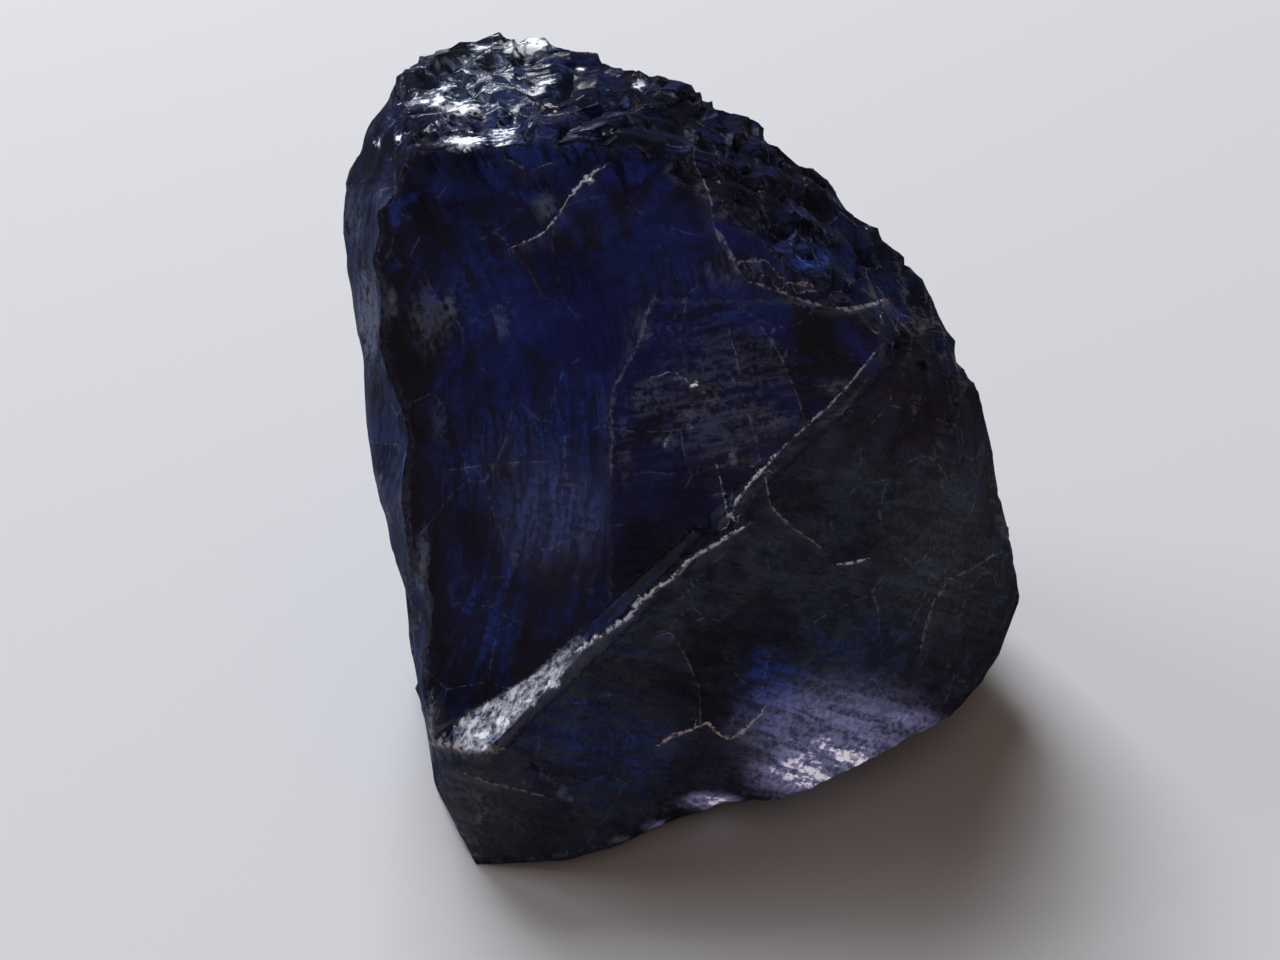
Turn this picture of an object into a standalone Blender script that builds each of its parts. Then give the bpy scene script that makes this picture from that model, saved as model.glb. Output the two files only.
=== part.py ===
"""A rough iolite specimen: one broken piece of a single crystal, lying on its flat base fracture.

The stone is a convex block of fracture faces, from which spalls have broken away: a large wedge
in front, whose floor is the blue face and whose wall is the bright diagonal ledge, shell-shaped
scallops down the left side, and deeper ones at the back. Its crown is a stair of small splintered
treads, and its upper right rim is chipped. Sizes are in millimetres and become metres at the end.
The front of the stone faces -Y, and it lies on z = 0.
"""

import math

import bmesh
import bpy
from mathutils import Matrix, Vector, noise

MM = 0.001
NAME = "iolite_specimen"

# Corners of the unbroken block, as x, y, z
CROWN_CORNERS = (
    (-10.8, 9.0, 25.0),
    (-9.4, 10.6, 25.3),
    (-7.1, 12.0, 25.4),
    (-4.8, 12.0, 25.2),
    (-3.0, 11.0, 24.9),
    (-9.6, 4.2, 24.2),
    (-5.3, 4.0, 24.2),
    (-2.2, 5.4, 24.9),
)
RIGHT_RIM_CORNERS = (
    (-1.6, 10.5, 24.3),
    (0.5, 10.2, 24.0),
    (2.4, 9.6, 23.4),
    (3.5, 9.1, 22.8),
    (4.6, 8.5, 21.7),
    (7.5, 7.5, 19.6),
    (10.1, 6.5, 16.6),
    (12.3, 5.5, 12.8),
    (13.2, 4.8, 10.1),
    (14.4, 3.0, 5.3),
    (14.8, 2.0, 3.9),
    (14.0, 0.5, 2.3),
)
FRONT_CORNERS = (
    (1.4, 2.0, 22.9),
    (7.5, 0.4, 19.0),
    (-7.5, -8.0, 5.9),
    (-9.6, -6.6, 5.7),
    (-9.9, -1.2, 14.9),
    (-11.2, 2.4, 21.8),
)
LEFT_CORNERS = (
    (-12.4, 9.5, 22.7),
    (-13.2, 9.2, 20.6),
    (-13.5, 8.0, 19.0),
    (-13.4, 7.0, 16.8),
    (-13.0, 5.5, 12.5),
    (-12.6, 3.5, 8.4),
    (-11.1, -2.5, 3.1),
    (-9.8, -6.5, 0.9),
)
LOWER_RIM_CORNERS = (
    (-4.8, -9.2, 0.7),
    (-1.6, -8.2, 1.1),
    (2.3, -6.6, 1.6),
    (7.5, -5.5, 1.7),
    (11.5, -2.8, 2.0),
    (13.0, -1.0, 1.9),
)
BACK_CORNERS = (
    (-9.0, 12.8, 21.0),
    (-4.0, 13.5, 20.0),
    (2.0, 12.5, 19.0),
    (7.0, 10.5, 15.5),
    (11.0, 8.5, 10.0),
    (-12.5, 10.5, 14.0),
    (-8.0, 13.8, 12.0),
    (1.0, 13.6, 10.0),
    (8.0, 11.0, 7.0),
    (12.5, 7.0, 4.5),
)
BASE_CORNERS = (
    (-8.2, -9.0, 0.0),
    (-4.5, -8.8, 0.0),
    (-1.0, -6.6, 0.0),
    (4.5, -3.2, 0.0),
    (9.5, -0.4, 0.0),
    (12.0, 3.0, 0.0),
    (10.0, 8.0, 0.0),
    (3.0, 11.5, 0.0),
    (-6.0, 11.8, 0.0),
    (-11.0, 7.5, 0.0),
    (-11.4, 1.0, 0.0),
    (-10.2, -5.0, 0.0),
)

# The wedge in front: the blue face is its floor, the ledge its wall, and the undercut face
# deepens it beside the lower end of the ledge
LEDGE_POINT = (-7.5, -8.0, 5.9)
LEDGE_OUT = (-0.564, -0.218, 0.796)
BLUE_FACE_POINT = (-7.5, 5.0, 24.1)
BLUE_FACE_OUT = (-0.070, -0.835, 0.546)
UNDERCUT_POINT = (-8.3, -6.2, 5.8)
UNDERCUT_OUT = (-0.234, -0.852, 0.467)

# How deep a scallop is, compared with the radius of the curve it was struck with
SCALLOP_SHALLOWNESS = 0.15

# Share of the remesher's grid that the stone fills, and how many triangles it keeps
EVENNESS = 0.95
TRIANGLES = 8800

# Chips: small facets, each tilted its own way and standing a little above or below the next
CHIP_SIZE = 1.7
CHIP_HEIGHT = 0.55
CHIP_TILT = 1.6
CHIP_STEP = 0.2
CHIP_MIDDLE = 0.39

# Treads of the splintered crown, which go down toward the front and wander
TREAD_DEPTH = 1.5
TREAD_HEIGHT = 0.5
TREAD_MIDDLE = 0.35
TREAD_SLANT = 0.3
RISER_SHARE = 0.3
BROAD_WANDER = (2.6, 1.5)
FINE_WANDER = (0.9, 0.25)

# Slow waves of every fracture face
WAVE_LENGTH = 4.5
WAVE_HEIGHT = 0.3

# Where the stone is rough: the part of the outward direction, or height, over which it sets in
CROWN_FACES_UP = (0.72, 0.93)
RIM_FACES_RIGHT = (0.25, 0.55)
RIM_FACES_UP = (0.2, 0.5)
RIM_HEIGHTS = (8.0, 14.0)
BACK_FACES_AWAY = (0.1, 0.5)
BACK_SHARE = 0.75
CALM_SHARE = 0.12

# Heights between which the breaks fade out toward the base
BASE_FADE = (0.05, 1.5)


def clear_scene():
    for thing in list(bpy.data.objects):
        bpy.data.objects.remove(thing, do_unlink=True)


def block():
    """The convex block that the corners span."""
    corners = (
        CROWN_CORNERS
        + RIGHT_RIM_CORNERS
        + FRONT_CORNERS
        + LEFT_CORNERS
        + LOWER_RIM_CORNERS
        + BACK_CORNERS
        + BASE_CORNERS
    )
    bm = bmesh.new()
    for corner in corners:
        bm.verts.new(corner)
    hull = bmesh.ops.convex_hull(bm, input=bm.verts)
    inside = [item for item in hull["geom_interior"] if isinstance(item, bmesh.types.BMVert)]
    bmesh.ops.delete(bm, geom=inside, context="VERTS")
    bmesh.ops.recalc_face_normals(bm, faces=bm.faces)
    return bm


def wedge(planes, size=80.0):
    """A spall bounded by planes, each a point on it and the direction that points out of the stone."""
    bm = bmesh.new()
    bmesh.ops.create_cube(bm, size=size)
    for point, outward in planes:
        cut = bmesh.ops.bisect_plane(
            bm,
            geom=bm.verts[:] + bm.edges[:] + bm.faces[:],
            plane_co=point,
            plane_no=outward,
            clear_inner=True,
        )
        rim = [item for item in cut["geom_cut"] if isinstance(item, bmesh.types.BMEdge)]
        bmesh.ops.holes_fill(bm, edges=rim)
    bmesh.ops.recalc_face_normals(bm, faces=bm.faces)
    return bm


def scallop(point, outward, half_width, half_height, depth, lean=0.0):
    """An ellipsoid struck into the surface at point, that leaves a shell-shaped hollow there.

    The hollow is measured on the surface, and leans by an angle in degrees about outward.
    """
    out = Vector(outward).normalized()
    radius = depth / SCALLOP_SHALLOWNESS
    reach = math.sqrt(1.0 - (1.0 - SCALLOP_SHALLOWNESS) ** 2)
    shape = Matrix.Diagonal((half_width / reach, half_height / reach, radius, 1.0))
    turn = out.to_track_quat("Z", "Y").to_matrix().to_4x4()
    spin = Matrix.Rotation(math.radians(lean), 4, "Z")
    centre = Vector(point) + out * (radius - depth)
    bm = bmesh.new()
    bmesh.ops.create_icosphere(bm, subdivisions=4, radius=1.0)
    bm.transform(Matrix.Translation(centre) @ turn @ spin @ shape)
    return bm


def spalls():
    """Every piece that has broken away, by name."""
    blue_face = (BLUE_FACE_POINT, BLUE_FACE_OUT)
    ledge = (LEDGE_POINT, LEDGE_OUT)
    undercut = (UNDERCUT_POINT, UNDERCUT_OUT)
    return {
        "front_wedge": wedge((blue_face, ledge)),
        "ledge_undercut": wedge((undercut, ledge)),
        "left_leaf_top": scallop((-12.2, 5.8, 21.2), (-0.93, -0.30, 0.20), 2.2, 2.4, 0.40),
        "left_leaf_upper": scallop((-12.1, 3.9, 17.8), (-0.93, -0.34, 0.10), 2.3, 3.0, 0.50),
        "left_leaf_middle": scallop((-11.4, 0.9, 14.6), (-0.93, -0.34, 0.05), 2.6, 3.2, 0.55),
        "left_hollow": scallop((-11.6, 0.6, 7.2), (-0.92, -0.22, -0.25), 4.0, 3.5, 0.75),
        "left_sliver": scallop((-10.4, -3.4, 9.0), (-0.80, -0.60, 0.10), 0.9, 2.6, 0.35),
        "left_heel": scallop((-10.6, -4.6, 2.6), (-0.90, -0.35, -0.20), 1.8, 1.6, 0.30),
        "rim_notch": scallop((4.3, 8.9, 22.1), (0.60, 0.20, 0.77), 1.1, 1.8, 0.75),
        "rim_dip": scallop((-1.9, 11.0, 24.6), (0.25, 0.40, 0.88), 1.6, 1.4, 0.35),
        "lower_rim_dip": scallop((0.8, -7.3, 1.4), (0.25, -0.85, -0.45), 2.4, 1.0, 0.20),
        "face_ripple": scallop((-7.4, -3.6, 10.9), BLUE_FACE_OUT, 1.2, 2.5, 0.30, 8.0),
        "back_high": scallop((-5.0, 13.4, 17.5), (-0.10, 0.98, 0.15), 5.0, 4.5, 1.30),
        "back_low": scallop((-2.5, 13.4, 7.5), (-0.05, 0.99, -0.10), 5.5, 4.5, 1.20, 25.0),
        "back_right": scallop((8.0, 10.4, 11.0), (0.60, 0.75, 0.25), 3.6, 5.5, 1.10, -20.0),
        "back_left": scallop((-12.4, 9.5, 10.5), (-0.85, 0.50, -0.05), 2.6, 5.0, 0.90, 10.0),
    }


def break_off(stone, cutters):
    """Takes every spall off the stone, and makes the result its mesh."""
    for name, bm in spalls().items():
        mesh = bpy.data.meshes.new(name)
        bm.to_mesh(mesh)
        bm.free()
        cutter = bpy.data.objects.new(name, mesh)
        cutter.hide_render = True
        cutter.display_type = "WIRE"
        cutters.objects.link(cutter)
        cut = stone.modifiers.new(name, "BOOLEAN")
        cut.operation = "DIFFERENCE"
        cut.solver = "EXACT"
        cut.object = cutter
    apply_modifiers(stone)


def apply_modifiers(stone):
    bpy.context.view_layer.update()
    graph = bpy.context.evaluated_depsgraph_get()
    mesh = bpy.data.meshes.new_from_object(stone.evaluated_get(graph))
    stone.modifiers.clear()
    stone.data = mesh


def spread_evenly(stone):
    """Gives the stone an even mesh that keeps its sharp edges, to carry the small breaks."""
    even = stone.modifiers.new("even", "REMESH")
    even.mode = "SHARP"
    even.octree_depth = 6
    even.scale = EVENNESS
    apply_modifiers(stone)


def ramp(value, low, high):
    """0 below low, 1 above high, and a smooth rise between."""
    t = min(1.0, max(0.0, (value - low) / (high - low)))
    return t * t * (3.0 - 2.0 * t)


def chips(point):
    """Height of the tilted facets over their middle."""
    place = point / CHIP_SIZE
    heights = []
    for centre in noise.voronoi(place)[1]:
        tilt = noise.cell_vector(centre * 31.7) - Vector((0.5, 0.5, 0.5))
        heights.append((place - centre).dot(tilt) * CHIP_TILT + CHIP_STEP * tilt.x)
    return max(heights) - CHIP_MIDDLE


def wander(point, length, amount):
    return noise.noise(point / length) * amount


def treads(point):
    """Height of the splintered treads over their middle."""
    step = (point.y - TREAD_SLANT * point.x) / TREAD_DEPTH
    step += wander(point, *BROAD_WANDER) + wander(point, *FINE_WANDER)
    part = step - math.floor(step)
    return ramp(part, 0.0, RISER_SHARE) - part - TREAD_MIDDLE


def breaks(point, normal):
    """How far the small breaks move the surface outward at a point."""
    crown = ramp(normal.z, *CROWN_FACES_UP)
    rim = ramp(normal.x, *RIM_FACES_RIGHT) * ramp(normal.z, *RIM_FACES_UP) * ramp(point.z, *RIM_HEIGHTS)
    back = ramp(normal.y, *BACK_FACES_AWAY)
    rough = max(crown, rim, BACK_SHARE * back, CALM_SHARE)
    height = wander(point, WAVE_LENGTH, WAVE_HEIGHT)
    height += CHIP_HEIGHT * rough * chips(point)
    height += TREAD_HEIGHT * crown * treads(point)
    return height * ramp(point.z, *BASE_FADE)


def add_breaks(bm):
    """Moves every corner of the mesh by the small breaks, and keeps the base flat."""
    moves = [vert.normal * breaks(vert.co, vert.normal) for vert in bm.verts]
    for vert, move in zip(bm.verts, moves):
        vert.co += move
        vert.co.z = max(0.0, vert.co.z)


def thin_out(stone):
    """Drops the triangles that the shape can do without."""
    thin = stone.modifiers.new("thin_out", "DECIMATE")
    thin.ratio = TRIANGLES / len(stone.data.polygons)
    apply_modifiers(stone)


def settle(mesh):
    """Puts the middle of the stone over the origin, with its base flat on z = 0."""
    for vert in mesh.vertices:
        if vert.co.z < 0.02:
            vert.co.z = 0.0
    across = [vert.co.x for vert in mesh.vertices]
    along = [vert.co.y for vert in mesh.vertices]
    middle = Vector((min(across) + max(across), min(along) + max(along), 0.0)) / 2.0
    mesh.transform(Matrix.Scale(MM, 4) @ Matrix.Translation(-middle))
    mesh.update()


def iolite():
    """Deep violet-blue stone, clear enough to glow at thin edges."""
    material = bpy.data.materials.new("iolite")
    material.use_nodes = True
    shader = material.node_tree.nodes["Principled BSDF"]
    shader.inputs["Base Color"].default_value = (0.017, 0.024, 0.070, 1.0)
    shader.inputs["Roughness"].default_value = 0.12
    shader.inputs["Metallic"].default_value = 0.0
    shader.inputs["IOR"].default_value = 1.54
    return material


def specimen(parts, cutters):
    """The whole stone, as one named object."""
    bm = block()
    mesh = bpy.data.meshes.new(NAME)
    bm.to_mesh(mesh)
    bm.free()
    stone = bpy.data.objects.new(NAME, mesh)
    parts.objects.link(stone)
    break_off(stone, cutters)
    spread_evenly(stone)
    bm = bmesh.new()
    bm.from_mesh(stone.data)
    bmesh.ops.triangulate(bm, faces=bm.faces)
    bm.normal_update()
    add_breaks(bm)
    bm.to_mesh(stone.data)
    bm.free()
    thin_out(stone)
    settle(stone.data)
    stone.data.name = NAME
    stone.data.materials.clear()
    stone.data.materials.append(iolite())
    return stone


def main():
    clear_scene()
    parts = bpy.data.collections.new(NAME)
    cutters = bpy.data.collections.new("spalls")
    for collection in (parts, cutters):
        bpy.context.scene.collection.children.link(collection)
    specimen(parts, cutters)


main()
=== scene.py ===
"""The look of a rough iolite crystal: its splintered surface, its clear violet body and its veils.

The crystal lies on a pale floor under a large soft window light from behind.
Lengths are in millimetres unless a name says otherwise; the scene itself is in metres.
"""

import math

import bmesh
import bpy
from mathutils import Matrix, Vector, noise
from mathutils.kdtree import KDTree


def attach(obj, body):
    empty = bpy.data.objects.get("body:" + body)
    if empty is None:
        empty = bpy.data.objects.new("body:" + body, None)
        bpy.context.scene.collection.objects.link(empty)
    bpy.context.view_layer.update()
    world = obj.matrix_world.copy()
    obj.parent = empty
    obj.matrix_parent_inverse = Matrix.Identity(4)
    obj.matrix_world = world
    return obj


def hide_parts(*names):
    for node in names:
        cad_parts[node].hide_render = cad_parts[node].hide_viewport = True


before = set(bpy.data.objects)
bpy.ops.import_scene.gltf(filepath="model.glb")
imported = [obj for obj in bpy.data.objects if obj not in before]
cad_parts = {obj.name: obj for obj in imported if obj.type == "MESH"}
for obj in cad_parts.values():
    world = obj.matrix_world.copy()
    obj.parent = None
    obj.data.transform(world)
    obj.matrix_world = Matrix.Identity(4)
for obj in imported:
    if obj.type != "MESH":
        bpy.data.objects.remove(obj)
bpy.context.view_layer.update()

# Camera
# It looks down on the stone at the photograph's angle, from about seven centimetres away.
MM = 0.001
CAMERA_DOWN = math.radians(42.0)
CAMERA_AT = Vector((-2.28, -54.26, 59.38))
CAMERA_LENS = 50.0
CAMERA_SENSOR = 36.0
CAMERA_NEAR = 1.0
PHOTO_WIDTH = 1280
PHOTO_HEIGHT = 960

camera_data = bpy.data.cameras.new("camera")
camera_data.lens = CAMERA_LENS
camera_data.sensor_width = CAMERA_SENSOR
camera_data.clip_start = CAMERA_NEAR * MM
camera = bpy.data.objects.new("camera", camera_data)
camera.location = CAMERA_AT * MM
camera.rotation_euler = (math.pi / 2 - CAMERA_DOWN, 0.0, 0.0)
bpy.context.scene.collection.objects.link(camera)
bpy.context.scene.camera = camera


def photo_pixel(point):
    """Where a point of the scene, in millimetres, falls in the photograph."""
    focal = CAMERA_LENS / CAMERA_SENSOR * PHOTO_WIDTH
    offset = point - CAMERA_AT
    away = offset.y * math.cos(CAMERA_DOWN) - offset.z * math.sin(CAMERA_DOWN)
    upward = offset.y * math.sin(CAMERA_DOWN) + offset.z * math.cos(CAMERA_DOWN)
    return PHOTO_WIDTH / 2 + focal * offset.x / away, PHOTO_HEIGHT / 2 - focal * upward / away


# The crystal
# One broken piece of gem cordierite. Its faces are glassy fractures: nearly smooth in front, and
# splintered into scoops and steps on the crown, the rim and the ledge. The body is clear and deep
# violet blue, dark where it is thick, and fine cracks inside it catch the light as veils. Other veils
# are painted light: painted highlights on the splinters, the ledge and sharp edges, painted
# reflections and sheen on the sides, painted shade on faces turned from the window, and a painted
# glow on the thin lower edge.
NODE = "iolite_specimen"
NOISE_SEED = 7
CROWN_SPACING = 0.095
FINE_SPACING = 0.23
PLAIN_SPACING = 0.5
LONGEST_EDGE = 1.35
SEEN_DEPTH = 4.0
SEEN_SLOPE = 0.2
SEEN_HEIGHT = 20.0
CREASE = math.radians(26.0)
FACET = math.radians(24.0)
CROWN_HEIGHTS = (19.0, 22.0)
RAGGED_HEIGHTS = (20.0, 22.5)
RIM_HEIGHTS = (7.0, 12.0)
LEFT_HEIGHTS = (3.0, 6.0)
BASE_HEIGHTS = (0.05, 0.8)

# Scoops and chips that are broken out of the surface, each with its size along three directions,
# its depth, and how far neighbours are stepped
BIG_LEAF = ((3.0, 0.90, 1.5), 0.24, 0.9)
SMALL_LEAF = ((1.5, 0.36, 0.8), 0.08, 0.5)
RIM_SCOOP = ((1.3, 1.3, 1.3), 0.085, 0.8)
RIM_CHIP = ((0.55, 0.55, 0.55), 0.03, 0.5)
BACK_SCOOP = ((2.2, 2.2, 2.2), 0.22, 0.9)
LEFT_SCOOP = ((2.4, 2.4, 5.0), 0.18, 1.2)
LEFT_CHIP = ((0.6, 0.6, 1.8), 0.02, 0.5)
LEDGE_CHIP = (0.5, 0.9, 0.5)
LEDGE_CHIP_DEPTH = 0.20
LEDGE_CHIP_TILT = 1.6
LEDGE_CHIP_STEP = 0.3
HIGHEST_LEAF = 0.08
RIDGE = (2.6, 2.2, 0.9)
RIDGE_DEPTH = 0.12
RIDGE_RUN = (0.96, 0.28)
RIDGE_BEND_SIZE = 2.5
RIDGE_BEND = 1.2
RIPPLE = (2.0, 1.5, 0.8)
RIPPLE_DEPTH = 0.03
EDGE_GLINT_REACH = (0.05, 0.30)
EDGE_GLINT_CLEARANCE = (0.9, 1.6)
LEAF_TURN = 0.3
WANDER_SIZE = 1.6
WANDER = 0.3
PATCH_SIZE = 2.4
RAGGED_SIZE = 1.3
RAGGED_DEPTH = 0.22

LEDGE_POINT = Vector((-8.18, -10.42, 5.9))
LEDGE_OUT = Vector((-0.564, -0.218, 0.796)).normalized()
LEDGE_THICKNESS = (0.5, 0.9)

# Where things begin and end in the photograph, in pixels across or down it
LEDGE_START = (452.0, 466.0)
LEDGE_BRIGHT_END = (548.0, 590.0)
LEDGE_WIDE_END = (555.0, 600.0)
SPLINTERS_END = (550.0, 620.0)
CROWN_DIM_START = (540.0, 620.0)
SHOULDER_END = (165.0, 205.0)
RIGHT_FLANK = 880.0

# Cracks that reach the front, and painted highlights along the ridge of the ledge and on the edge of
# a flake, each as the pixels it runs through in the photograph, its width in pixels, how white it is
# and how rusty
CRACKS_AND_GLINTS = (
    (((652, 302), (645, 315), (640, 340), (627, 365), (615, 385), (610, 405), (612, 440), (610, 470)),
     3.0, 0.15, 0.1),
    (((695, 140), (697, 160), (710, 200), (717, 235), (730, 260), (750, 285)), 1.2, 0.26, 0.1),
    (((720, 232), (735, 262), (765, 260), (785, 282), (810, 285)), 2.6, 0.30, 0.1),
    (((750, 282), (790, 295), (815, 305), (850, 310), (880, 302)), 2.8, 0.36, 0.1),
    (((760, 325), (780, 355), (795, 390), (805, 420)), 1.2, 0.16, 0.2),
    (((730, 335), (737, 360), (742, 395), (755, 435), (760, 460)), 1.2, 0.16, 0.1),
    (((765, 477), (772, 510), (790, 527), (807, 537)), 1.4, 0.26, 0.3),
    (((770, 505), (797, 530), (820, 547)), 1.4, 0.26, 0.3),
    (((845, 564), (862, 560)), 2.4, 0.80, 0.1),
    (((922, 650), (927, 625), (935, 600), (950, 580), (995, 555)), 2.2, 0.16, 0.2),
    (((662, 742), (690, 730), (707, 722), (720, 735), (730, 740), (745, 730), (762, 712)),
     2.4, 0.95, 0.60),
    (((662, 635), (670, 632), (685, 655), (700, 690), (700, 725)), 1.4, 0.16, 0.6),
    (((460, 772), (490, 783), (545, 797)), 1.6, 0.18, 0.2),
    (((450, 470), (500, 463), (540, 462)), 1.1, 0.14, 0.0),
    (((625, 478), (645, 472), (670, 474)), 1.1, 0.08, 0.0),
    (((517, 245), (542, 235), (557, 215), (570, 197)), 1.8, 0.80, 0.0),
    (((570, 197), (590, 180), (602, 168)), 3.2, 1.00, 0.0),
    (((657, 377), (672, 371), (684, 378)), 1.6, 0.40, 0.0),
    (((716, 463), (725, 500), (728, 520)), 1.6, 0.50, 0.0),
    (((510, 160), (527, 172), (553, 163)), 1.4, 0.20, 0.1),
    (((492, 45), (493, 92)), 1.6, 0.20, 0.1),
    (((578, 650), (595, 640), (610, 630), (630, 615), (640, 600), (670, 580), (690, 560)),
     4.2, 1.00, 0.0),
    (((690, 560), (715, 545), (745, 527)), 2.8, 0.90, 0.0),
    (((730, 515), (740, 495), (760, 472), (780, 450)), 2.6, 0.90, 0.0),
    (((780, 450), (800, 432), (830, 405), (855, 378), (875, 352)), 2.0, 0.50, 0.0),
    (((434, 742), (450, 747), (470, 751), (496, 750)), 6.0, 0.42, 0.5),
    (((434, 742), (431, 725), (432, 700)), 3.0, 0.30, 0.4),
)
CRACK_REACH = 20.0
NO_CRACK = (99.0, 999.0, 0.0, 0.0)

# Veils of fine cracks below the front, and patches of painted light and shade, each as a soft oval:
# its middle and half size in photograph pixels, and its strength
BLUE_VEILS = (
    (490, 300, 85, 150, 0.45), (560, 420, 85, 70, 0.75), (555, 510, 65, 65, 0.80),
    (485, 600, 55, 85, 0.60), (470, 430, 50, 110, 0.45), (600, 620, 70, 55, 0.40),
    (720, 290, 95, 80, 0.40), (812, 262, 24, 16, 0.60), (575, 701, 20, 5, 1.00),
    (606, 697, 18, 6, 0.90), (775, 690, 50, 50, 1.00), (762, 668, 18, 28, 1.00),
    (560, 373, 9, 5, 1.00), (640, 250, 90, 60, 0.35), (600, 745, 120, 70, 0.46),
    (860, 650, 80, 50, 0.30),
)
# Grey veils of cracks, and painted reflections on light facets of the left side and on a few sheets and
# glints of the front
GREY_VEILS_AND_REFLECTIONS = (
    (358, 222, 15, 48, 0.30), (369, 312, 20, 68, 0.58), (423, 560, 12, 46, 0.52),
    (430, 712, 10, 40, 0.46), (430, 320, 36, 55, 0.40), (450, 310, 11, 28, 0.60),
    (392, 306, 8, 27, 0.60), (668, 440, 22, 15, 0.42), (690, 416, 26, 15, 0.50),
    (712, 398, 20, 12, 0.50), (655, 382, 22, 10, 0.35), (720, 400, 110, 120, 0.36),
    (731, 457, 8, 11, 1.00), (770, 420, 42, 20, 0.42), (562, 792, 7, 13, 0.60),
    (570, 799, 8, 7, 0.60), (626, 840, 18, 6, 0.90), (545, 207, 20, 26, 0.45),
    (838, 388, 30, 14, 0.42), (500, 320, 20, 34, 0.40), (740, 275, 70, 26, 0.34),
    (640, 330, 30, 40, 0.28), (440, 420, 14, 40, 0.30), (650, 400, 40, 30, 0.42),
    (625, 450, 14, 60, 0.34),
)
HAZE = (
    (556, 515, 74, 78, 0.80), (520, 470, 60, 60, 0.30),
)
HAZE_END = (607.0, 613.0)
# Painted sheen on the lower right face, the lower left block and the right of the front
SHEEN = (
    (938, 545, 80, 125, 1.00), (480, 805, 60, 75, 0.80), (760, 450, 80, 36, 0.50),
    (860, 470, 70, 50, 0.40),
)
# Painted glow: lilac where light from behind comes through the thin lower edge
THIN_EDGE_GLOW_OVALS = (
    (838, 735, 112, 64, 0.48), (836, 752, 84, 36, 0.82), (806, 772, 66, 28, 0.95),
    (850, 758, 46, 24, 1.00), (712, 802, 34, 11, 0.90), (905, 722, 40, 16, 0.66),
    (660, 826, 22, 6, 0.60),
)
# Painted highlights: white glints on the crown's splinters, and smaller ones on the front and the lower
# edge
PAINTED_HIGHLIGHTS = (
    (530, 48, 32, 13, 0.90), (533, 92, 16, 8, 0.95), (546, 82, 11, 7, 0.90),
    (460, 143, 28, 9, 1.00), (462, 109, 28, 9, 1.00), (438, 100, 12, 9, 0.90),
    (446, 89, 13, 7, 0.80), (480, 48, 14, 4, 0.90), (381, 142, 6, 7, 0.70), (400, 140, 4, 8, 0.60),
    (394, 162, 3, 6, 0.40), (500, 138, 20, 9, 0.55), (420, 100, 13, 4, 0.70),
    (470, 64, 18, 7, 0.50), (582, 70, 6, 7, 0.60), (638, 84, 8, 8, 0.90), (608, 132, 11, 3, 0.60),
    (480, 100, 75, 55, 0.28), (694, 384, 8, 3, 0.50), (706, 394, 8, 3, 0.55),
    (677, 377, 6, 3, 0.70), (733, 378, 3, 7, 0.60), (666, 443, 4, 7, 0.60), (687, 427, 8, 4, 0.50),
    (824, 770, 50, 16, 0.60), (862, 752, 24, 10, 0.55), (784, 778, 12, 6, 0.65),
    (708, 800, 18, 6, 0.50), (590, 180, 11, 4, 0.70), (600, 170, 4, 4, 1.00),
    (722, 388, 4, 9, 0.40), (485, 736, 16, 8, 0.70), (506, 722, 15, 8, 0.70),
    (528, 703, 15, 8, 0.70), (549, 684, 13, 7, 0.70),
)
BROWN_STAINS = (
    (712, 678, 54, 64, 0.60), (908, 415, 80, 72, 1.00), (730, 728, 26, 14, 0.70),
    (465, 800, 60, 60, 0.45),
)
# Painted shade: zones darkened on the crown, the rim, the left side and the front
DARK_ZONES = (
    (545, 165, 190, 42, 0.85), (470, 200, 110, 60, 0.45), (470, 690, 70, 45, 0.80),
    (860, 520, 90, 50, 0.40), (720, 660, 70, 80, 0.60), (800, 620, 70, 40, 0.40),
    (392, 430, 26, 62, 0.60), (940, 560, 70, 80, 0.35), (700, 130, 110, 60, 0.60),
    (640, 560, 40, 50, 0.40), (838, 252, 60, 48, 0.85), (720, 400, 110, 110, 0.30),
    (700, 485, 70, 36, 0.50), (570, 270, 50, 40, 0.35), (640, 400, 24, 60, 0.35),
    (620, 770, 60, 40, 0.30),
)
CREST = (548.0, 44.0)
CREST_REACH = 46.0
CREST_HEIGHT = 0.22
PIXEL = 0.04

# The grain of fine streaks: how long a streak is, and how many lie side by side in a millimetre.
# Three of the grains run straight, along a direction in the photograph; one runs in arcs.
LEDGE_GRAIN = ((0.6, -0.8), 0.9, 3.8)
LOWER_GRAIN = ((0.966, 0.259), 1.9, 2.2)
RIGHT_GRAIN = ((0.985, -0.174), 2.2, 2.6)
ARC_CENTRE = (40.0, 470.0)
ARC_RADIUS = 18.0
ARC_LENGTH = 2.6
ARC_DENSITY = 2.2
CROWN_GRAIN_LENGTH = 1.8
CROWN_GRAIN_DENSITY = 3.2
SIDE_GRAIN_LENGTH = 1.6
SIDE_GRAIN_DENSITY = 2.6
GRAIN_WARP = 0.3
HAIR_BEND_SIZE = 5.0
HAIR_BEND = 1.5


def smooth_step(value, low, high):
    """Rises softly from 0 at low to 1 at high."""
    t = min(1.0, max(0.0, (value - low) / (high - low)))
    return t * t * (3.0 - 2.0 * t)


def scoop_height(place, step):
    """Height of shallow scoops that meet in sharp ridges, for a place in units of their size."""
    heights = []
    for centre in noise.voronoi(place)[1]:
        chance = noise.cell_vector(centre * 31.7)
        heights.append((place - centre).length_squared + step * chance.x)
    return min(heights) - 0.35


def scoops(share, place, wander, layer):
    """Height of one layer of scoops at a place in millimetres, where share says how much it shows."""
    if share == 0.0:
        return 0.0
    size, depth, step = layer
    place = Vector((place.x / size[0], place.y / size[1], place.z / size[2]))
    return share * depth * scoop_height(place + wander, step)


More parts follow.
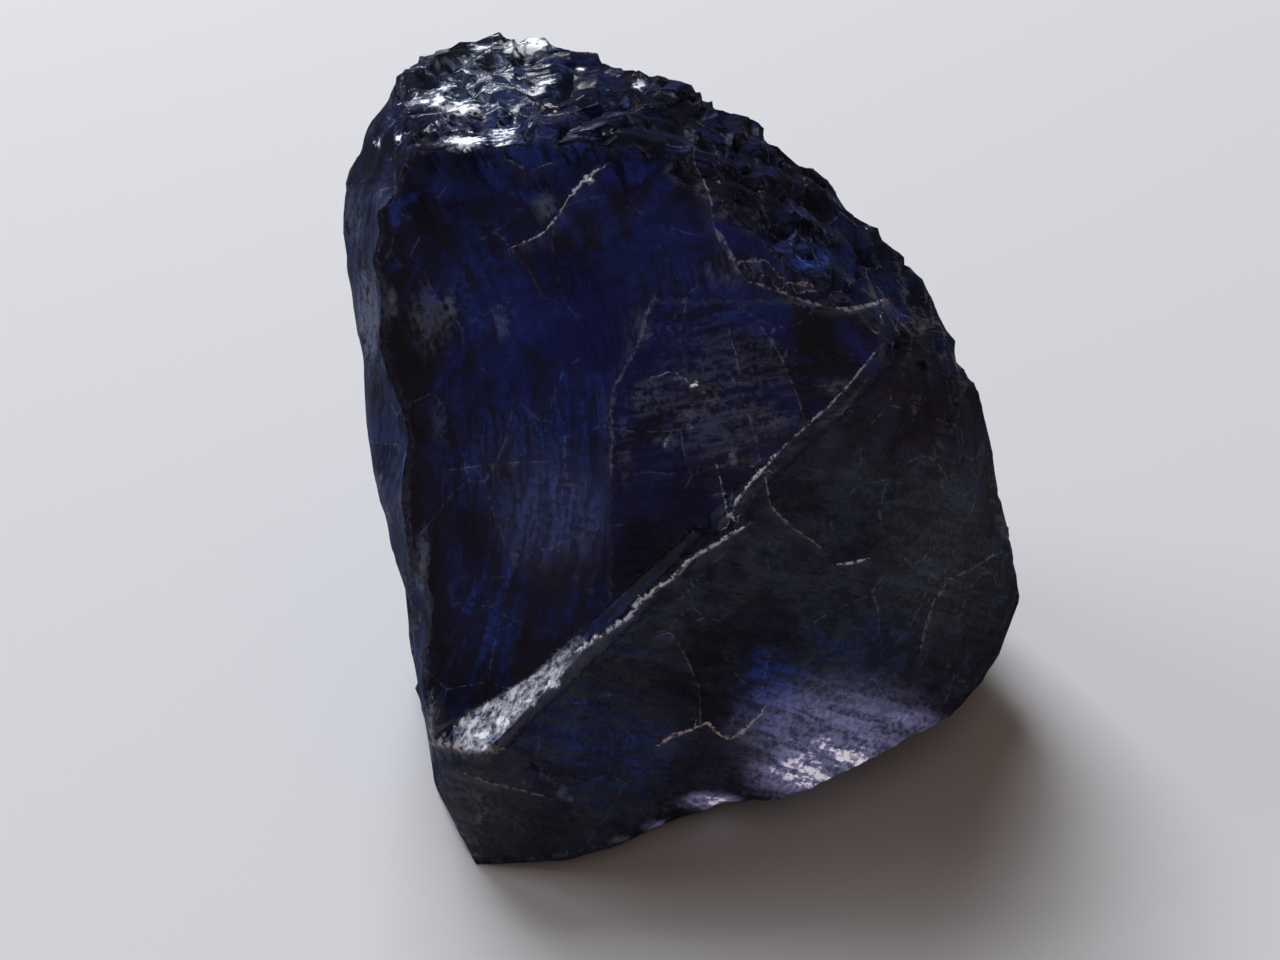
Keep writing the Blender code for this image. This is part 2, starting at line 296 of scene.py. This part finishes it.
def chip_height(place):
    """Height of small flat facets, each tilted its own way, for a place in units of their size."""
    heights = []
    for centre in noise.voronoi(place)[1]:
        tilt = noise.cell_vector(centre * 31.7) - Vector((0.5, 0.5, 0.5))
        heights.append((place - centre).dot(tilt) * LEDGE_CHIP_TILT + LEDGE_CHIP_STEP * tilt.x)
    return max(heights) - 0.45


def crown_share(point, normal):
    return smooth_step(normal.z, 0.70, 0.88) * smooth_step(point.z, *CROWN_HEIGHTS)


def rim_share(point, normal):
    share = smooth_step(normal.x, 0.25, 0.5) * smooth_step(normal.z, 0.15, 0.45)
    return share * smooth_step(point.z, *RIM_HEIGHTS)


def ledge_share(point, normal):
    off_ledge = abs((point - LEDGE_POINT).dot(LEDGE_OUT))
    near_ledge = 1.0 - smooth_step(off_ledge, *LEDGE_THICKNESS)
    return smooth_step(normal.dot(LEDGE_OUT), 0.75, 0.95) * near_ledge


def left_share(point, normal):
    return smooth_step(-normal.x, 0.35, 0.7) * smooth_step(point.z, *LEFT_HEIGHTS)


def spacing_at(edge):
    """How far apart the mesh points lie along an edge: closer where the surface is rough and seen."""
    point = (edge.verts[0].co + edge.verts[1].co) / 2.0
    normal = edge.verts[0].normal
    if crown_share(point, normal) > 0.3 or ledge_share(point, normal) > 0.3:
        return CROWN_SPACING
    seen_from_front = point.y < SEEN_DEPTH + SEEN_SLOPE * point.z or point.z > SEEN_HEIGHT
    return FINE_SPACING if seen_from_front else PLAIN_SPACING


def on_base(edge):
    return max(edge.verts[0].co.z, edge.verts[1].co.z) < 0.01


def touches_base(edge):
    return min(edge.verts[0].co.z, edge.verts[1].co.z) < 0.01


def nearest_line(px, py):
    """Signed distance to the nearest line, crack or painted highlight, in its widths, plain distance in
    pixels, white and rust.
    """
    best = NO_CRACK
    for route, width, white, rust in CRACKS_AND_GLINTS:
        for (x0, y0), (x1, y1) in zip(route, route[1:]):
            if not min(x0, x1) - CRACK_REACH < px < max(x0, x1) + CRACK_REACH:
                continue
            if not min(y0, y1) - CRACK_REACH < py < max(y0, y1) + CRACK_REACH:
                continue
            length = math.hypot(x1 - x0, y1 - y0)
            along = ((px - x0) * (x1 - x0) + (py - y0) * (y1 - y0)) / length ** 2
            share = min(1.0, max(0.0, along))
            away = math.hypot(px - x0 - share * (x1 - x0), py - y0 - share * (y1 - y0))
            if away < best[1]:
                side = (x1 - x0) * (py - y0) - (y1 - y0) * (px - x0)
                best = (math.copysign(away, side) / width, away, white, rust)
    return best


def veil_share(px, py, ovals):
    """How strongly the soft ovals cover a photograph pixel, from 0 to 1."""
    share = 0.0
    for middle_x, middle_y, half_x, half_y, strength in ovals:
        away = math.hypot((px - middle_x) / half_x, (py - middle_y) / half_y)
        share = max(share, strength * (1.0 - smooth_step(away, 0.2, 1.15)))
    return share


def straight_grain(px, py, grain):
    """Where a pixel lies along and across a straight grain, in streaks."""
    (run_x, run_y), length, density = grain
    along = (run_x * px + run_y * py) * PIXEL / length
    return along, (run_x * py - run_y * px) * PIXEL * density


def right_of_crack(px, py):
    """Whether a pixel lies right of the long crack down the middle of the front, and below its top."""
    route = CRACKS_AND_GLINTS[0][0] + ((610, 640),)
    for (x0, y0), (x1, y1) in zip(route, route[1:]):
        if y0 <= py < y1:
            return px > x0 + (py - y0) * (x1 - x0) / (y1 - y0)
    return False


# Without a seed the noise vectors start from the clock and differ from run to run
noise.seed_set(NOISE_SEED)
source = bpy.data.objects[NODE]
bm = bmesh.new()
bm.from_mesh(source.data)
bmesh.ops.remove_doubles(bm, verts=bm.verts, dist=1e-7)
bm.transform(Matrix.Scale(1.0 / MM, 4))

for _ in range(6):
    bm.normal_update()
    long_edges = [edge for edge in bm.edges
                  if not on_base(edge) and edge.calc_length() > LONGEST_EDGE * spacing_at(edge)]
    if not long_edges:
        break
    bmesh.ops.subdivide_edges(bm, edges=long_edges, cuts=1)
    bmesh.ops.triangulate(bm, faces=bm.faces)
    creased = set()
    for edge in bm.edges:
        if edge.calc_face_angle(0.0) > CREASE or touches_base(edge):
            creased.update(edge.verts)
    free = [vert for vert in bm.verts if vert not in creased]
    for _ in range(3):
        bmesh.ops.smooth_vert(bm, verts=free, factor=0.5,
                              use_axis_x=True, use_axis_y=True, use_axis_z=True)

bm.normal_update()
sharp_edges = [edge for edge in bm.edges
               if edge.calc_face_angle(0.0) > CREASE and not touches_base(edge)]
sharp_points = [vert.co.copy() for edge in sharp_edges for vert in edge.verts]
creases = KDTree(len(sharp_points))
for number, point in enumerate(sharp_points):
    creases.insert(point, number)
creases.balance()
OVALS = {"blue": BLUE_VEILS, "grey": GREY_VEILS_AND_REFLECTIONS, "haze": HAZE, "sheen": SHEEN, "lilac": THIN_EDGE_GLOW_OVALS,
         "white": PAINTED_HIGHLIGHTS, "brown": BROWN_STAINS, "dark": DARK_ZONES}
traits = {}
for name in ("crack_side", "crack_away", "line_white", "crack_rust", "blue", "grey", "lilac", "brown",
             "white", "dark", "frost", "splinter", "hackle", "edge", "left", "ledge", "dim", "patch",
             "haze", "sheen"):
    traits[name] = bm.verts.layers.float.new(name)
grain_layer = bm.verts.layers.float_vector.new("grain")
warp_layer = bm.verts.layers.float_vector.new("warped")
moves = []
for vert in bm.verts:
    point = vert.co
    normal = vert.normal
    px, py = photo_pixel(point)
    faces_camera = smooth_step(normal.dot((CAMERA_AT - point).normalized()), 0.0, 0.15)
    shoulder = left_share(point, normal) * (1.0 - smooth_step(py, *SHOULDER_END))
    crown = max(crown_share(point, normal), 0.8 * faces_camera * shoulder)
    rim = rim_share(point, normal)
    ledge = ledge_share(point, normal)
    left = left_share(point, normal) * (1.0 - shoulder) * (1.0 - ledge)
    back = smooth_step(normal.y, 0.1, 0.5)
    front = smooth_step(-normal.y, 0.2, 0.6)

    # The scoops of the crown are long leaves that rise to the right
    leaf = Vector((point.x + LEAF_TURN * point.y, point.y - LEAF_TURN * point.x, point.z))
    wander = noise.noise_vector(point / WANDER_SIZE) * WANDER
    splintered = crown * (1.0 - 0.75 * smooth_step(px, *SPLINTERS_END))
    height = scoops(splintered, leaf, wander, BIG_LEAF)
    height += scoops(splintered, leaf, wander, SMALL_LEAF)
    height = min(height, HIGHEST_LEAF)
    from_crest = math.hypot(px - CREST[0], py - CREST[1]) / CREST_REACH
    height += CREST_HEIGHT * crown * (1.0 - smooth_step(from_crest, 0.0, 1.0))
    if ledge > 0.0:
        wide_ledge = 1.0 - 0.95 * smooth_step(px, *LEDGE_WIDE_END)
        chip = Vector((point.x / LEDGE_CHIP[0], point.y / LEDGE_CHIP[1], point.z / LEDGE_CHIP[2]))
        height += LEDGE_CHIP_DEPTH * ledge * wide_ledge * chip_height(chip)
    height += scoops(rim, point, wander, RIM_SCOOP) + scoops(rim, point, wander, RIM_CHIP)
    height += scoops(back, point, wander, BACK_SCOOP)
    height += scoops(left, point, wander, LEFT_SCOOP) + scoops(left, point, wander, LEFT_CHIP)
    above_ledge = (point - LEDGE_POINT).dot(LEDGE_OUT)
    # Painted highlight along sharp edges, away from the crown and the ledge
    edge_glint = (1.0 - smooth_step(creases.find(point)[2], *EDGE_GLINT_REACH)) * (1.0 - crown)
    edge_glint *= smooth_step(abs(above_ledge), *EDGE_GLINT_CLEARANCE)
    run_x, run_z = RIDGE_RUN
    streak = Vector((point.x * run_x - point.z * run_z, point.y, point.z * run_x + point.x * run_z))
    below_ledge = front * (1.0 - smooth_step(above_ledge, -1.0, 0.2))
    bend = noise.noise_vector(point / RIDGE_BEND_SIZE) * RIDGE_BEND
    across_ridges = Vector((streak.x / RIDGE[0], streak.y / RIDGE[1], streak.z / RIDGE[2]))
    ridge = 1.0 - abs(noise.noise(across_ridges + bend))
    height += RIDGE_DEPTH * below_ledge * (ridge ** 3 - 0.5)
    across_ripples = Vector((streak.x / RIPPLE[0], streak.y / RIPPLE[1], streak.z / RIPPLE[2]))
    height += RIPPLE_DEPTH * front * noise.noise(across_ripples)
    height *= smooth_step(point.z, *BASE_HEIGHTS)
    ragged = noise.noise_vector(point / RAGGED_SIZE) * RAGGED_DEPTH
    ragged *= smooth_step(point.z, *RAGGED_HEIGHTS)
    moves.append(normal * height + Vector((ragged.x, ragged.y, 0.3 * ragged.z)))

    crack = nearest_line(px, py) if faces_camera > 0.0 else NO_CRACK
    # Painted light and shade: the dim trait darkens, as painted shade, the rim, faces turned right away
    # from the window, the crown right of its highlights, the ledge past its bright part, the shoulder
    # and the low left side; the ledge trait marks the ledge's bevel for its painted highlight
    past_bright_ledge = smooth_step(px, *LEDGE_BRIGHT_END)
    low = 1.0 - smooth_step(point.z, *LEFT_HEIGHTS)
    values = {
        "crack_side": crack[0], "crack_away": crack[1], "line_white": crack[2], "crack_rust": crack[3],
        "patch": smooth_step(noise.fractal(point / PATCH_SIZE + wander, 0.55, 2.0, 5), -0.22, 0.22),
        "frost": max(back, smooth_step(-normal.z, 0.2, 0.7)),
        "splinter": max(crown * (1.0 - 0.6 * smooth_step(px, *SPLINTERS_END)), 0.3 * rim, 0.3 * ledge),
        "edge": edge_glint,
        "left": left,
        "ledge": ledge * faces_camera * smooth_step(px, *LEDGE_START) * (1.0 - past_bright_ledge),
        "dim": max(rim, smooth_step(normal.x, 0.35, 0.7), crown * smooth_step(px, *CROWN_DIM_START),
                   ledge * past_bright_ledge, 0.8 * shoulder * faces_camera,
                   smooth_step(-normal.x, 0.2, 0.5) * low),
        "hackle": below_ledge,
    }
    for name, ovals in OVALS.items():
        values[name] = faces_camera * veil_share(px, py, ovals) if faces_camera > 0.0 else 0.0
    values["haze"] *= 1.0 - smooth_step(px, *HAZE_END)
    values["patch"] = max(values["patch"], values["blue"])
    # Painted shade on the ledge past its bright part
    values["dark"] = max(values["dark"], ledge * faces_camera * past_bright_ledge)
    for name, value in values.items():
        vert[traits[name]] = value

    # Fine streaks run in arcs on the front, down to the right below the ledge, and along the leaves
    deep = point.y * 0.2
    if ledge > 0.3:
        along, across = straight_grain(px, py, LEDGE_GRAIN)
        deep = 0.0
    elif crown > 0.5:
        along = leaf.x / CROWN_GRAIN_LENGTH
        across = leaf.y * CROWN_GRAIN_DENSITY
        deep = leaf.z * CROWN_GRAIN_DENSITY
    elif faces_camera < 0.5 or left > 0.4:
        along = point.z / SIDE_GRAIN_LENGTH
        across = point.x * SIDE_GRAIN_DENSITY
        deep = point.y * SIDE_GRAIN_DENSITY
    elif above_ledge < -0.5 or px > RIGHT_FLANK:
        along, across = straight_grain(px, py, LOWER_GRAIN)
    elif right_of_crack(px, py):
        along, across = straight_grain(px, py, RIGHT_GRAIN)
    else:
        along = math.atan2(py - ARC_CENTRE[1], px - ARC_CENTRE[0]) * ARC_RADIUS / ARC_LENGTH
        across = math.hypot(px - ARC_CENTRE[0], py - ARC_CENTRE[1]) * PIXEL * ARC_DENSITY
    grain = Vector((along, across, deep))
    vert[grain_layer] = grain + noise.noise_vector(grain) * GRAIN_WARP
    vert[warp_layer] = point + noise.noise_vector(point / HAIR_BEND_SIZE) * HAIR_BEND
for vert, move in zip(bm.verts, moves):
    vert.co += move
    vert.co.z = max(0.0, vert.co.z)

bm.transform(Matrix.Scale(MM, 4))
mesh = bpy.data.meshes.new("iolite_crystal")
bm.to_mesh(mesh)
bm.free()
mesh.shade_smooth()
mesh.set_sharp_from_angle(angle=FACET)
crystal = bpy.data.objects.new("iolite_crystal", mesh)
bpy.context.scene.collection.objects.link(crystal)


class Wire:
    """A shader value: arithmetic on it adds Math nodes, and node() adds any other node."""

    def __init__(self, tree, socket):
        self.tree = tree
        self.socket = socket

    def node(self, kind, settings=None, **sockets):
        made = self.tree.nodes.new(kind)
        for name, value in (settings or {}).items():
            setattr(made, name, value)
        for name, value in sockets.items():
            key = int(name[1:]) if name[1:].isdigit() else name.replace("_", " ")
            if isinstance(value, Wire):
                self.tree.links.new(value.socket, made.inputs[key])
            else:
                made.inputs[key].default_value = value
        return made

    def out(self, made, name=0):
        return Wire(self.tree, made.outputs[name])

    def math(self, operation, first, second=0.0):
        made = self.node("ShaderNodeMath", {"operation": operation}, i0=first, i1=second)
        return self.out(made)

    def mix(self, share, first, second):
        made = self.node("ShaderNodeMix", {"data_type": "RGBA"}, i0=share, i6=first, i7=second)
        return self.out(made, 2)

    def __add__(self, other):
        return self.math("ADD", self, other)

    def __radd__(self, other):
        return self.math("ADD", other, self)

    def __sub__(self, other):
        return self.math("SUBTRACT", self, other)

    def __rsub__(self, other):
        return self.math("SUBTRACT", other, self)

    def __mul__(self, other):
        return self.math("MULTIPLY", self, other)

    def __rmul__(self, other):
        return self.math("MULTIPLY", other, self)

    def __truediv__(self, other):
        return self.math("DIVIDE", self, other)

    def __abs__(self):
        return self.math("ABSOLUTE", self)

    def ramp(self, low, high):
        made = self.node("ShaderNodeMapRange", {"interpolation_type": "SMOOTHSTEP"},
                         Value=self, From_Min=low, From_Max=high)
        return self.out(made)


def shader_tree(name):
    """A new material with its tree cleared, and its output node."""
    material = bpy.data.materials.new(name)
    material.use_nodes = True
    tree = material.node_tree
    tree.nodes.clear()
    output = tree.nodes.new("ShaderNodeOutputMaterial")
    return material, tree, output


IOLITE_IOR = 1.54
BODY_COLOUR = (0.02, 0.24, 0.62, 1.0)
ABSORPTION_PER_METRE = 540.0
BUMP_DEPTH = 0.05
SPECKS_PER_MM = 4.2
HAIR_CELLS_PER_MM = 0.32
HAIR_WIDTH = 0.012
CRACK_FADE_START = 7.0
CRACK_FADE_END = 11.0
SHEET_WIDTH = 19.0
MOST_SHADE_AND_MOTTLE = 0.96
MOST_VIOLET = 0.97

material, tree, output = shader_tree("iolite")
start = Wire(tree, None)


def trait(name, output="Fac"):
    made = start.node("ShaderNodeAttribute", {"attribute_name": name})
    return start.out(made, output)


place = start.out(start.node("ShaderNodeTexCoord"), "Object")
in_mm = start.node("ShaderNodeMapping", {"vector_type": "TEXTURE"}, Vector=place, Scale=(MM, MM, MM))
streaks = start.node("ShaderNodeTexNoise", Vector=trait("grain", "Vector"), Scale=1.0, Detail=4.0,
                     Roughness=0.66)
streak = start.out(streaks, "Fac")
specks = start.node("ShaderNodeTexNoise", Vector=start.out(in_mm, "Vector"), Scale=SPECKS_PER_MM,
                    Detail=2.0, Roughness=0.66)
speck = start.out(specks, "Fac")
fine = streak.ramp(0.43, 0.57)
brush = streak.ramp(0.47, 0.56)
breaks = speck.ramp(0.42, 0.56)

# A crack line wanders a little, thins and thickens, and breaks up; on one side of it a faint sheet
# shows where the crack slopes down into the stone
off_line = abs(trait("crack_side") + (speck - 0.5) * 2.0) / (0.40 + 0.90 * streak.ramp(0.35, 0.65))
near_crack = 1.0 - trait("crack_away").ramp(CRACK_FADE_START, CRACK_FADE_END)
line = (1.0 - off_line.ramp(0.25, 1.0)) * near_crack
# The white of the lines along the ledge's ridge and on the flake's edge is a painted highlight
line_share = line * trait("line_white") * (0.10 + 0.90 * breaks)
sheet = (1.0 - trait("crack_away").ramp(0.0, SHEET_WIDTH)) * trait("crack_side").ramp(-0.1, 0.4)
sheet_share = sheet * start.math("MINIMUM", trait("line_white"), 0.3) * (0.06 + 0.30 * fine)

# Fine hair cracks run through the body in every direction
cells = start.node("ShaderNodeTexVoronoi", {"feature": "DISTANCE_TO_EDGE"},
                   Vector=trait("warped", "Vector"), Scale=HAIR_CELLS_PER_MM)
hair = 1.0 - (start.out(cells, "Distance") / HAIR_WIDTH).ramp(0.3, 1.0)
hair_share = hair * trait("patch") * breaks * 0.22

patch = trait("patch")
# The black veil: painted shade in dark strokes on the front below the ledge, on the splinters, on the
# dim faces, on the left side and in the dark zones, and the stone's own darker mottle and brown stains
shade_and_mottle_share = trait("hackle") * (0.58 + 0.36 * brush) + trait("splinter") * (0.42 + 0.50 * brush)
shade_and_mottle_share = shade_and_mottle_share + trait("dim") * (0.64 + 0.22 * brush) + trait("left") * (0.84 + 0.12 * brush)
shade_and_mottle_share = shade_and_mottle_share + (1.0 - patch) * (0.04 + 0.18 * brush + 0.16 * breaks) + 0.08 * brush
shade_and_mottle_share = shade_and_mottle_share + 0.7 * trait("brown") + trait("dark") * (0.60 + 0.40 * brush)
blue_share = (0.15 - 0.05 * trait("hackle") + 0.80 * trait("blue")) * (0.35 + 0.65 * patch)
blue_share = blue_share * (0.30 + 0.70 * fine) * (0.45 + 0.55 * breaks)
mottle = 0.55 * streak + 0.45 * speck
grey_share = (mottle + 0.22 * trait("grey")).ramp(0.50, 0.66) * trait("grey").ramp(0.0, 0.5)
grey_share = grey_share * (0.12 + 0.50 * trait("grey"))
brown_share = trait("brown") * (0.4 + 0.6 * patch) * 0.5
haze_share = trait("haze") * (0.10 + 0.14 * fine + 0.10 * breaks)
# Painted glow: violet and lilac where light from behind comes through the thin lower edge
violet = trait("lilac") * (0.30 + 0.55 * fine + 0.45 * breaks)
thin_edge_glow_share = start.math("MINIMUM", violet, MOST_VIOLET)
lit_share = violet.ramp(0.66, 1.20) * MOST_VIOLET
# Painted sheen on the lower faces
sheen_share = trait("sheen") * (0.10 + 0.12 * mottle.ramp(0.42, 0.60))
# Painted highlights: white splinter glints with a blue halo
shine = 0.70 * streak + 0.30 * speck + 0.20 * trait("white")
highlight_share = shine.ramp(0.60, 0.69) * trait("white").ramp(0.0, 0.15) * 0.95
highlight_halo_share = shine.ramp(0.50, 0.64) * trait("white").ramp(0.0, 0.3) * 0.50
# Painted highlights along sharp edges, and on the ledge's bevel in white over a painted blue reflection
edge_glint_share = trait("edge") * breaks * brush * 0.18
ledge_reflection_share = trait("ledge") * (0.45 + 0.45 * breaks)
ledge_highlight_share = trait("ledge") * (0.65 * streak + 0.35 * speck).ramp(0.40, 0.62) * 0.92
# Painted sheen: grey-green and violet on the front below the ledge
hackle_sheen_share = trait("hackle") * (0.20 + 0.28 * mottle.ramp(0.42, 0.60)) * (1.0 - 0.8 * trait("brown"))


# Colours of the veils, from the dark ones below to the white ones on top, and of their faint glow.
# The black is painted shade and also the stone's darker mottle and stains; the sheen greys and greens
# are painted sheen; the violet and lilac are painted glow through the thin edge; the ledge's blue
# and white, the edge grey, the halo blue and the splinter white are painted highlights and
# reflections; the crack white is a painted highlight where it lies along the ridge; the glows are
# painted glow.
SHADE_AND_MOTTLE_BLACK = (0.010, 0.010, 0.012, 1.0)
RUST_BROWN = (0.055, 0.032, 0.028, 1.0)
SHEEN_GREEN = (0.085, 0.100, 0.115, 1.0)
SHEEN_VIOLET = (0.060, 0.058, 0.085, 1.0)
LEFT_BLUE = (0.10, 0.13, 0.27, 1.0)
SHEEN_GREY = (0.20, 0.23, 0.23, 1.0)
DEEP_BLUE = (0.036, 0.090, 0.50, 1.0)
ASH_BLUE = (0.30, 0.35, 0.50, 1.0)
HAZE_BLUE = (0.26, 0.32, 0.60, 1.0)
SHEET_GREY = (0.34, 0.38, 0.50, 1.0)
HAIR_GREY = (0.34, 0.38, 0.52, 1.0)
THIN_EDGE_VIOLET = (0.34, 0.42, 0.92, 1.0)
THIN_EDGE_LILAC = (0.98, 0.92, 0.98, 1.0)
LEDGE_REFLECTION_BLUE = (0.10, 0.17, 0.36, 1.0)
LEDGE_HIGHLIGHT_WHITE = (0.96, 0.98, 1.00, 1.0)
EDGE_GLINT_GREY = (0.46, 0.42, 0.42, 1.0)
HIGHLIGHT_HALO_BLUE = (0.20, 0.29, 0.46, 1.0)
SPLINTER_HIGHLIGHT_WHITE = (0.92, 0.95, 1.00, 1.0)
LINE_WHITE = (0.78, 0.81, 0.92, 1.0)
CRACK_RUST = (0.74, 0.46, 0.28, 1.0)
NO_LIGHT = (0.0, 0.0, 0.0, 1.0)
VIOLET_GLOW = (0.110, 0.100, 0.175, 1.0)
LILAC_GLOW = (0.52, 0.46, 0.52, 1.0)
LINE_GLOW = (0.045, 0.048, 0.066, 1.0)
LEDGE_GLOW = (0.12, 0.14, 0.19, 1.0)
SPLINTER_GLOW = (0.34, 0.37, 0.42, 1.0)


class Veils:
    """Veils laid one over another: how clear they leave the body, and the light that they add."""

    def __init__(self):
        self.clear = 1.0
        self.light = NO_LIGHT

    def lay(self, share, colour):
        self.clear = self.clear * (1.0 - share)
        self.light = start.mix(share, self.light, colour)


veils = Veils()
veils.lay(start.math("MINIMUM", shade_and_mottle_share, MOST_SHADE_AND_MOTTLE), SHADE_AND_MOTTLE_BLACK)
veils.lay(brown_share, RUST_BROWN)
veils.lay(hackle_sheen_share * patch, SHEEN_GREEN)
veils.lay(hackle_sheen_share * (1.0 - patch), SHEEN_VIOLET)
veils.lay(trait("left") * (0.3 + 0.7 * fine) * 0.22, LEFT_BLUE)
veils.lay(sheen_share, SHEEN_GREY)
veils.lay(blue_share, DEEP_BLUE)
veils.lay(grey_share, ASH_BLUE)
veils.lay(haze_share, HAZE_BLUE)
veils.lay(sheet_share, SHEET_GREY)
veils.lay(hair_share, HAIR_GREY)
veils.lay(thin_edge_glow_share, THIN_EDGE_VIOLET)
veils.lay(lit_share, THIN_EDGE_LILAC)
veils.lay(ledge_reflection_share, LEDGE_REFLECTION_BLUE)
veils.lay(ledge_highlight_share, LEDGE_HIGHLIGHT_WHITE)
veils.lay(edge_glint_share, EDGE_GLINT_GREY)
veils.lay(highlight_halo_share, HIGHLIGHT_HALO_BLUE)
veils.lay(highlight_share, SPLINTER_HIGHLIGHT_WHITE)
veils.lay(line_share * (1.0 - trait("crack_rust")), LINE_WHITE)
veils.lay(line_share * trait("crack_rust"), CRACK_RUST)

relief = streak * (0.45 + 0.7 * trait("hackle") + 0.6 * trait("splinter"))
bump = start.node("ShaderNodeBump", Height=relief, Strength=1.0, Distance=BUMP_DEPTH * MM)
roughness = 0.04 + 0.3 * trait("frost") + 0.05 * trait("splinter") + 0.06 * speck
clear = start.node("ShaderNodeBsdfPrincipled", Base_Color=(1.0, 1.0, 1.0, 1.0), IOR=IOLITE_IOR,
                   Transmission_Weight=1.0, Roughness=roughness, Normal=start.out(bump))
# Painted glow: the veils of the thin lower edge carry a faint constant glow for the light from behind
# that comes through it, and the painted highlights of the cracks, the ledge and the splinters glow
# faintly too
painted_glow = start.mix(thin_edge_glow_share, NO_LIGHT, VIOLET_GLOW)
painted_glow = start.mix(lit_share, painted_glow, LILAC_GLOW)
painted_glow = start.mix(line_share, painted_glow, LINE_GLOW)
painted_glow = start.mix(ledge_highlight_share, painted_glow, LEDGE_GLOW)
painted_glow = start.mix(highlight_share, painted_glow, SPLINTER_GLOW)
hidden = 1.0 - veils.clear
veil_colour = start.node("ShaderNodeVectorMath", {"operation": "DIVIDE"}, i0=veils.light, i1=hidden)
veil = start.node("ShaderNodeBsdfPrincipled", Base_Color=start.out(veil_colour), IOR=IOLITE_IOR,
                  Specular_IOR_Level=0.0, Roughness=roughness, Emission_Color=painted_glow,
                  Emission_Strength=1.0, Normal=start.out(bump))
mixed = start.node("ShaderNodeMixShader", i0=hidden, i1=start.out(clear), i2=start.out(veil))
volume = start.node("ShaderNodeVolumeAbsorption", Color=BODY_COLOUR, Density=ABSORPTION_PER_METRE)
tree.links.new(mixed.outputs[0], output.inputs["Surface"])
tree.links.new(volume.outputs["Volume"], output.inputs["Volume"])
mesh.materials.clear()
mesh.materials.append(material)

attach(crystal, "root")
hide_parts(NODE)


# Floor
# A plain pale slab, a hair below the stone's base, so that the two faces don't share a plane.
FLOOR_HALF = 1500.0
FLOOR_GAP = 0.03
FLOOR_COLOUR = (0.64, 0.67, 0.73, 1.0)
FLOOR_ROUGHNESS = 0.85

bm = bmesh.new()
bmesh.ops.create_grid(bm, x_segments=1, y_segments=1, size=FLOOR_HALF * MM)
bmesh.ops.translate(bm, verts=bm.verts, vec=(0.0, 0.0, -FLOOR_GAP * MM))
floor_mesh = bpy.data.meshes.new("floor")
bm.to_mesh(floor_mesh)
bm.free()
floor = bpy.data.objects.new("floor", floor_mesh)
bpy.context.scene.collection.objects.link(floor)
material, tree, output = shader_tree("floor")
start = Wire(tree, None)
slab = start.node("ShaderNodeBsdfPrincipled", Base_Color=FLOOR_COLOUR, Roughness=FLOOR_ROUGHNESS)
tree.links.new(slab.outputs["BSDF"], output.inputs["Surface"])
floor_mesh.materials.append(material)


# Light
# A wide soft window behind and a little to the left, a smaller one at the left, and a dim warm
# room all round.
ROOM_COLOUR = (0.140, 0.104, 0.082, 1.0)
STONE_MIDDLE = Vector((0.0, 0.0, 12.0))
WINDOW_AWAY = 900.0


def soft_window(name, azimuth, elevation, size, power):
    """An area light that faces the stone from azimuth degrees left of straight behind."""
    turn = math.radians(azimuth)
    rise = math.radians(elevation)
    aim = Vector((-math.sin(turn) * math.cos(rise), math.cos(turn) * math.cos(rise), math.sin(rise)))
    data = bpy.data.lights.new(name, "AREA")
    data.shape = "RECTANGLE"
    data.size = size[0] * MM
    data.size_y = size[1] * MM
    data.energy = power
    light = bpy.data.objects.new(name, data)
    light.location = (aim * WINDOW_AWAY + STONE_MIDDLE) * MM
    light.rotation_euler = aim.to_track_quat("Z", "Y").to_euler()
    bpy.context.scene.collection.objects.link(light)


soft_window("window", azimuth=21.0, elevation=42.0, size=(440.0, 390.0), power=9.1)
soft_window("left_window", azimuth=70.0, elevation=32.0, size=(340.0, 340.0), power=2.0)

world = bpy.data.worlds.new("room")
world.use_nodes = True
room = world.node_tree.nodes["Background"]
room.inputs["Color"].default_value = ROOM_COLOUR
bpy.context.scene.world = world
bpy.context.scene.view_settings.view_transform = "Standard"
